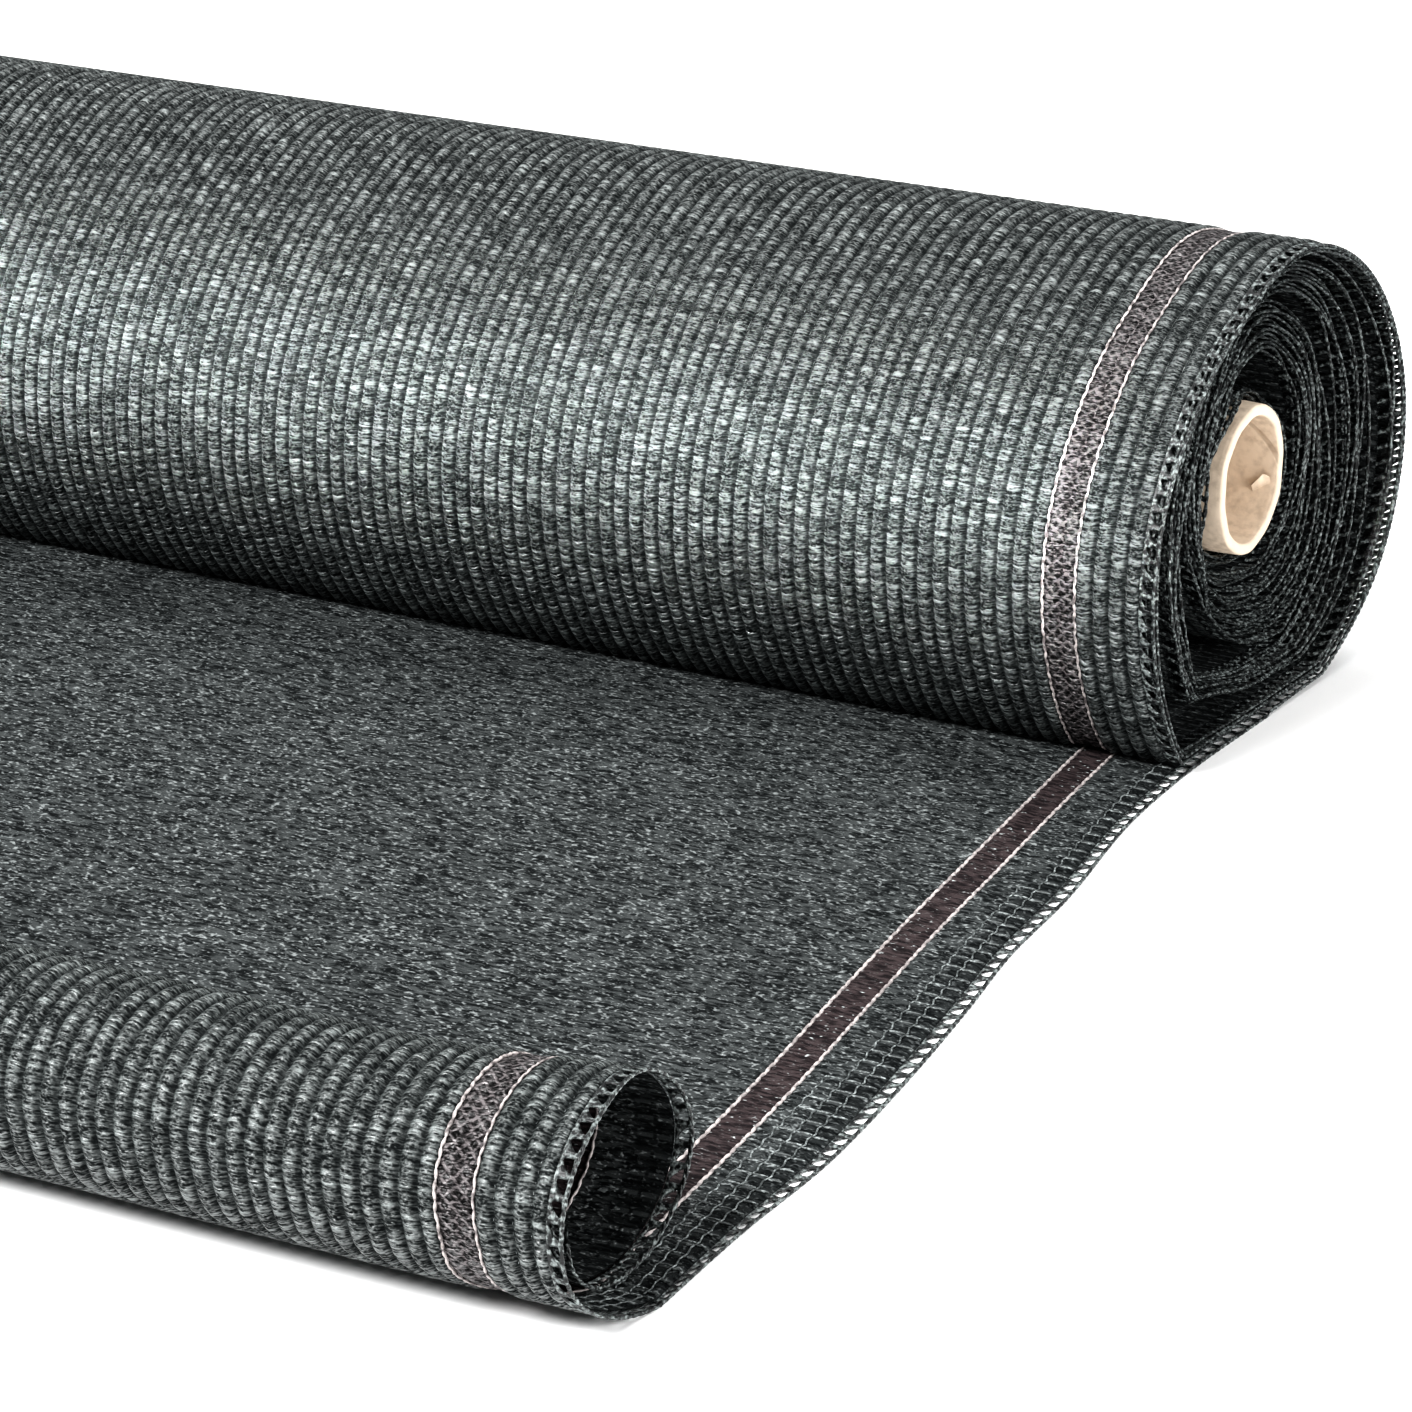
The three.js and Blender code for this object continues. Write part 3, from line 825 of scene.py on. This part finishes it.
def holed_edge(points, first, last, course, side, lift, outward):
    """The yarns between the cord and the cloth, knitted round one hole after another."""
    starts = paced(points, first, last, 2 * course, from_edge(side, CORD_ACROSS))
    pace = np.gradient(starts)
    hole, frame = np.array(HOLE + HOLE[:1]), np.array(FRAME + FRAME[:1])
    middle = 0.45 * hole + 0.55 * frame
    loops = np.stack([frame, middle, hole, middle, frame])
    lifts = lift + np.array([0.4, 1, 0, -1, -0.4])[:, None] * FRAME_LIFT
    share = loops[..., 0] if outward else 1 - loops[..., 0]
    place = starts[:, None, None] + pace[:, None, None] * share
    cells, _ = points(place, from_edge(side, loops[..., 1] * MM), lifts)
    if side < 0:
        cells = cells[:, :, ::-1]
    return [(cell, 0.0, 0.0, 0) for cell in cells]


# Each part of the netting: its piece, its points, where it begins and ends, its course, how far its
# selvedge stands off, and whether its holes point away from the roll.
EDGE_YARN = edge_yarn("edge_yarn", *EDGE_COLOURS)
PARTS = (
    (outer_wrap, wound_points, 0, 360, COURSE, WOUND_EDGE_LIFT, False),
    (drawn_length, loose_points, -1, 0, DRAWN_COURSE, LOOSE_EDGE_LIFT, True),
    (curled_end, loose_points, 0, CURL_END, COURSE, LOOSE_EDGE_LIFT, True),
)
for sheet, points, first, last, course, lift, outward in PARTS:
    grids = []
    for side in (1, -1):
        grids += edge_cord(points, first, last, course, side, lift)
        grids += holed_edge(points, first, last, course, side, lift, outward)
    grid_piece(sheet.name + "_selvedges", grids, [EDGE_YARN], sheet)

# The same selvedge on the wraps inside the roll, plainer: one cord, and a slanting brace for each hole.
INNER_CORD_HALF = 0.5 * MM
BRACE = (4.7 * MM, 0.8 * MM)
BRACE_LEAN = (-0.1, 0.3)
BRACE_HALF = 0.7 * MM
INNER_SIDES = 4
grids = []
for side in (1, -1):
    places = paced(wound_points, 360, WRAPS * 360, COURSE, from_edge(side, CORD_ACROSS))
    middles, outs = wound_points(places, from_edge(side, CORD_ACROSS), 0.0)
    half = (INNER_CORD_HALF * (1 + 0.25 * np.cos(np.arange(len(places)) * math.pi)))[None]
    grids += yarn_grids(middles[None], outs[None], half, 0.8 * half, INNER_SIDES)
    starts = paced(wound_points, 360, WRAPS * 360, 2 * COURSE, from_edge(side, CORD_ACROSS))
    lean = starts[:, None] + np.gradient(starts)[:, None] * np.linspace(*BRACE_LEAN, 3)
    middles, outs = wound_points(lean, from_edge(side, np.linspace(*BRACE, 3)), 0.0)
    half = np.full(middles.shape[:2], BRACE_HALF)
    grids += yarn_grids(middles, outs, half, 0.5 * half, INNER_SIDES)
grid_piece("inner_wraps_selvedges", grids, [EDGE_YARN], inner_wraps)

# The ladder beside the holes: on the smooth back the first wales are knitted more openly, and the laid
# yarn shows as short bars between thin zigzag chains. Towards the curl up to three wales show it.
BAR_HALF = 0.3 * MM
BAR_SHARES = np.array([0.06, 0.35, 0.65, 0.94])
BAR_TAPER = np.array([0.6, 1, 1, 0.6])
CHAIN_HALF = 0.22 * MM
CHAIN_SWAY = 0.4 * MM
BAR_SIDES, CHAIN_SIDES = 5, 4
LADDER_LIFT = -SHEET / 2 - 0.1 * MM
LADDER_COLOURS = ((0.06, 0.067, 0.067, 1), (0.36, 0.39, 0.39, 1))
LADDER_YARN = edge_yarn("ladder_yarn", *LADDER_COLOURS)

# Each ladder: its piece, its points, its course, and for each wale where it begins and ends.
LADDERS = (
    (drawn_length, loose_points, DRAWN_COURSE, ((1, -0.97, 0), (2, -0.62, 0), (3, -0.3, 0))),
    (curled_end, loose_points, COURSE, ((1, 0, 200), (2, 0, 200), (3, 0, 120))),
)
for sheet, points, course, ladder in LADDERS:
    grids = []
    for wale, first, last in ladder:
        starts = paced(points, first, last, 2 * course, wale * WALE)
        middles, outs = points(starts[:, None], (wale + BAR_SHARES) * WALE, LADDER_LIFT)
        half = BAR_HALF * BAR_TAPER * np.ones((len(starts), 1))
        grids += yarn_grids(middles, outs, half, half, BAR_SIDES)
        places = paced(points, first, last, course / 2, (wale + 1) * WALE)
        sway = CHAIN_SWAY * np.sin(np.arange(len(places)) * math.pi / 2)
        middles, outs = points(places, (wale + 1) * WALE + sway, LADDER_LIFT)
        half = np.full((1, len(places)), CHAIN_HALF)
        grids += yarn_grids(middles[None], outs[None], half, half, CHAIN_SIDES)
    grid_piece(sheet.name + "_ladder", grids, [LADDER_YARN], sheet)

# The marker threads: two light threads run in with the fifth and seventh wale from the right-hand
# edge, to show where to cut and fasten. They show on both faces as rows of small slanting stitches.
THREAD_DIM = (0.12, 0.105, 0.105, 1)
THREAD_LIGHT = (0.46, 0.42, 0.41, 1)
THREAD_HALF = 0.5 * MM
RIBBED_THREAD_HALF = 0.42 * MM
THREAD_SWAY = 0.14 * MM
RIBBED_THREAD_LIFT = SHEET / 2 - 0.75 * MM
BACK_THREAD_LIFT = -SHEET / 2 - 0.1 * MM
BEAD_STEPS = 4
THREAD_SIDES = 6
THREAD_GRAIN = 520
THREAD_ROUGHNESS = 0.55
THREAD_BUMP = 0.1 * MM


def marker_thread():
    """Off-white thread with dull worn spots. Its measure along says how clean it is."""
    thread = Pattern("marker_thread")
    grain = thread.speckle(THREAD_GRAIN)
    clean = thread.sum("MAXIMUM", thread.ramp(grain, 0.34, 0.56), thread.attribute("along"))
    thread.feed(thread.shader.inputs["Base Color"], thread.blend(clean, THREAD_DIM, THREAD_LIGHT))
    thread.feed(thread.shader.inputs["Roughness"], THREAD_ROUGHNESS)
    thread.relief(grain, THREAD_BUMP)
    return thread.material


MARKER_THREAD = marker_thread()
THREADED = (
    (outer_wrap, wound_points, 0, 360, COURSE, RIBBED_THREAD_LIFT, RIBBED_THREAD_HALF, 0.0),
    (drawn_length, loose_points, -1, 0, DRAWN_COURSE, BACK_THREAD_LIFT, THREAD_HALF, 0.4),
    (curled_end, loose_points, 0, CURL_END, COURSE, BACK_THREAD_LIFT, RIBBED_THREAD_HALF, 0.2),
    (curled_end, loose_points, 0, CURL_END, COURSE, RIBBED_THREAD_LIFT, RIBBED_THREAD_HALF, 0.0),
)
bundles = {}
for sheet, points, first, last, course, lift, thick, clean in THREADED:
    for wale in THREAD_WALES:
        places = paced(points, first, last, course / BEAD_STEPS, wale * WALE)
        count = np.arange(len(places)) * math.pi / BEAD_STEPS
        middles, outs = points(places, wale * WALE + THREAD_SWAY * np.sin(count), lift)
        half = thick * (0.5 + 0.5 * np.abs(np.cos(count)))[None]
        for grid, *_ in yarn_grids(middles[None], outs[None], half, 0.8 * half, THREAD_SIDES):
            bundles.setdefault(sheet, []).append((grid, 0.0, clean, 0))
for sheet, grids in bundles.items():
    grid_piece(sheet.name + "_threads", grids, [MARKER_THREAD], sheet)
